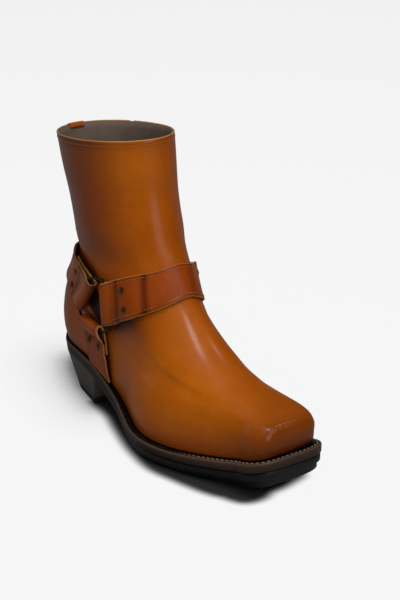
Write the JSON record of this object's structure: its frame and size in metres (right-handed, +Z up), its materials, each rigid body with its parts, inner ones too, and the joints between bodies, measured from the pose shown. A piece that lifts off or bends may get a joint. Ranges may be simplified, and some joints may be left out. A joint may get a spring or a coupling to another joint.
{
  "type": "harness ankle boot",
  "caption": "Right foot leather ankle boot with a square toe, ringed harness straps, inner side zip, stitched welt, stepped sole and block heel.",
  "frame": {"origin": "on the floor under the middle of the boot's box, which is the harness's width and the sole's length", "axes": "+X towards the toe, +Y towards the inner side of this right boot, +Z up from the floor"},
  "size_m": [0.3, 0.111, 0.246],
  "materials": {
    "upper_leather": "polished cognac",
    "strap_leather": "burnished cognac",
    "welt_leather": "dark brown waxed edge",
    "sole_rubber": "satin black",
    "heel_stack": "black waxed stack",
    "heel_lift_rubber": "matte black",
    "insole_leather": "matte grey brown",
    "rivet_brass": "antique brass",
    "ring_nickel": "nickel plate",
    "zip_tape": "black woven tape"
  },
  "bodies": {
    "boot": {"upper": "upper_leather", "instep_strap": "strap_leather", "back_strap": "strap_leather", "outer_stirrup_strap": "strap_leather", "inner_stirrup_strap": "strap_leather", "welt": "welt_leather", "outsole": "sole_rubber", "heel": "heel_stack", "heel_top_lift": "heel_lift_rubber", "insole": "insole_leather", "outer_harness_ring": "ring_nickel", "inner_harness_ring": "ring_nickel", "zip": "zip_tape", "zip_slider": "ring_nickel", "outer_instep_strap_rivet_low": "rivet_brass", "outer_instep_strap_rivet_high": "rivet_brass", "outer_back_strap_rivet_low": "rivet_brass", "outer_back_strap_rivet_high": "rivet_brass", "outer_stirrup_rivet_low": "rivet_brass", "outer_stirrup_rivet_high": "rivet_brass", "inner_instep_strap_rivet_low": "rivet_brass", "inner_instep_strap_rivet_high": "rivet_brass", "inner_back_strap_rivet_low": "rivet_brass", "inner_back_strap_rivet_high": "rivet_brass", "inner_stirrup_rivet_low": "rivet_brass", "inner_stirrup_rivet_high": "rivet_brass"},
    "pull_tab": {"zip_pull_tab": "ring_nickel"}
  },
  "joints": [
    {"name": "pull_tab_hinge", "type": "hinge", "parent": "boot", "child": "pull_tab", "pos_m": [-0.11163, 0.0404, 0.21528], "axis": [0.9226, 0.3057, 0.2354], "range_deg": [-4, 176]}
  ]
}
